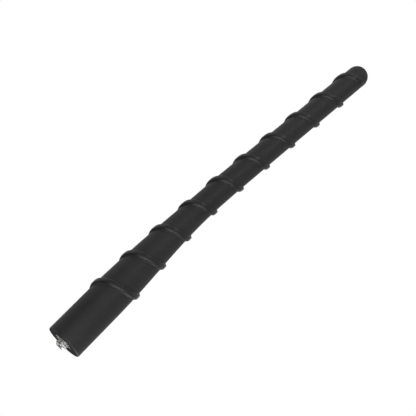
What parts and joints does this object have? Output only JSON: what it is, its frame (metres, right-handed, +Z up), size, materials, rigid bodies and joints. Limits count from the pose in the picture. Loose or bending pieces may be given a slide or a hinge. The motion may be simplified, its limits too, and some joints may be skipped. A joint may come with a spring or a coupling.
{
  "type": "mast aerial",
  "caption": "Short flexible black rubber roof mast aerial with a helical rib, domed tip, tapering body and a plated threaded stud in its base end.",
  "frame": {"origin": "centre of the jacket's base end, on the stud's axis", "axes": "+Z up the mast at the base, towards the tip; the tip leans slightly towards +X"},
  "size_m": [0.0232, 0.0167, 0.1831],
  "materials": {
    "black_rubber": "satin",
    "nickel_plate": "bright plated",
    "glass_fibre": "matte",
    "enamelled_copper": "glossy enamel",
    "solder": "satin"
  },
  "bodies": {
    "root": {"jacket": "black_rubber", "base_ferrule": "nickel_plate", "core_rod": "glass_fibre", "radiator_winding": "enamelled_copper", "solder_joint": "solder"}
  },
  "joints": []
}
